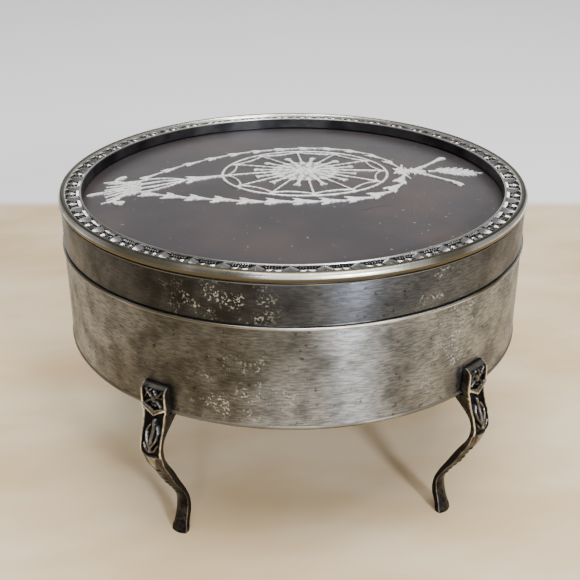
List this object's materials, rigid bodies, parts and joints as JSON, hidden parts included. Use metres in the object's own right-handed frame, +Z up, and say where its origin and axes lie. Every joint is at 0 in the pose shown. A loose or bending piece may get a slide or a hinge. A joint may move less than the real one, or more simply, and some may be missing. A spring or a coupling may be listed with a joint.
{
  "type": "round footed trinket box",
  "caption": "Round hinged-lid trinket box on cast cabriole legs, with a domed shell lid panel inlaid with silver and a velvet-lined well.",
  "frame": {"origin": "on the table, under the middle of the box", "axes": "+Z up, -Y the front, +Y the hinge side, +X to the right of someone who faces the front"},
  "size_m": [0.088, 0.088, 0.0577],
  "materials": {
    "drum_silver": "sheet silver, fine turned lines, brown and grey tarnish",
    "wire_silver": "polished silver wire and roll, worn bright, warm tone",
    "bezel_silver": "clean sheet silver, fine turned lines",
    "stamped_silver": "stamped leaf gallery, dark in the ground and bright on the high points",
    "cast_silver": "cast and chased silver, black in the recesses and bright on the edges",
    "inlay_silver": "thin engraved silver leaf, flush with the shell, pale and satin",
    "shell": "dark tortoiseshell with faint red-brown mottling, worn satin polish",
    "velvet": "wine-red cotton velvet"
  },
  "bodies": {
    "box": {"drum_wall": "drum_silver", "base_edge_wire": "wire_silver", "base_plate": "drum_silver", "drum_lip_wire": "wire_silver", "inner_bezel": "bezel_silver", "well_lining": "velvet", "well_cushion": "velvet", "leg_front_right": "cast_silver", "leg_back_right": "cast_silver", "leg_back_left": "cast_silver", "leg_front_left": "cast_silver", "hinge_leaf_drum": "drum_silver", "hinge_pin": "wire_silver"},
    "lid": {"lid_skirt": "drum_silver", "rim_cove": "drum_silver", "rim_roll": "wire_silver", "rim_leaf_band": "stamped_silver", "rim_inner_wire": "wire_silver", "shell_panel": "shell", "panel_keeper": "bezel_silver", "lid_lining": "velvet", "inlay_wheel": "inlay_silver", "inlay_chain_upper": "inlay_silver", "inlay_chain_lower": "inlay_silver", "inlay_finial_left": "inlay_silver", "inlay_finial_right": "inlay_silver", "hinge_leaf_lid": "drum_silver"}
  },
  "joints": [
    {"name": "lid_hinge", "type": "hinge", "parent": "box", "child": "lid", "pos_m": [0, 0.0431, 0.0473], "axis": [-1, 0, 0], "range_deg": [0, 100]}
  ]
}
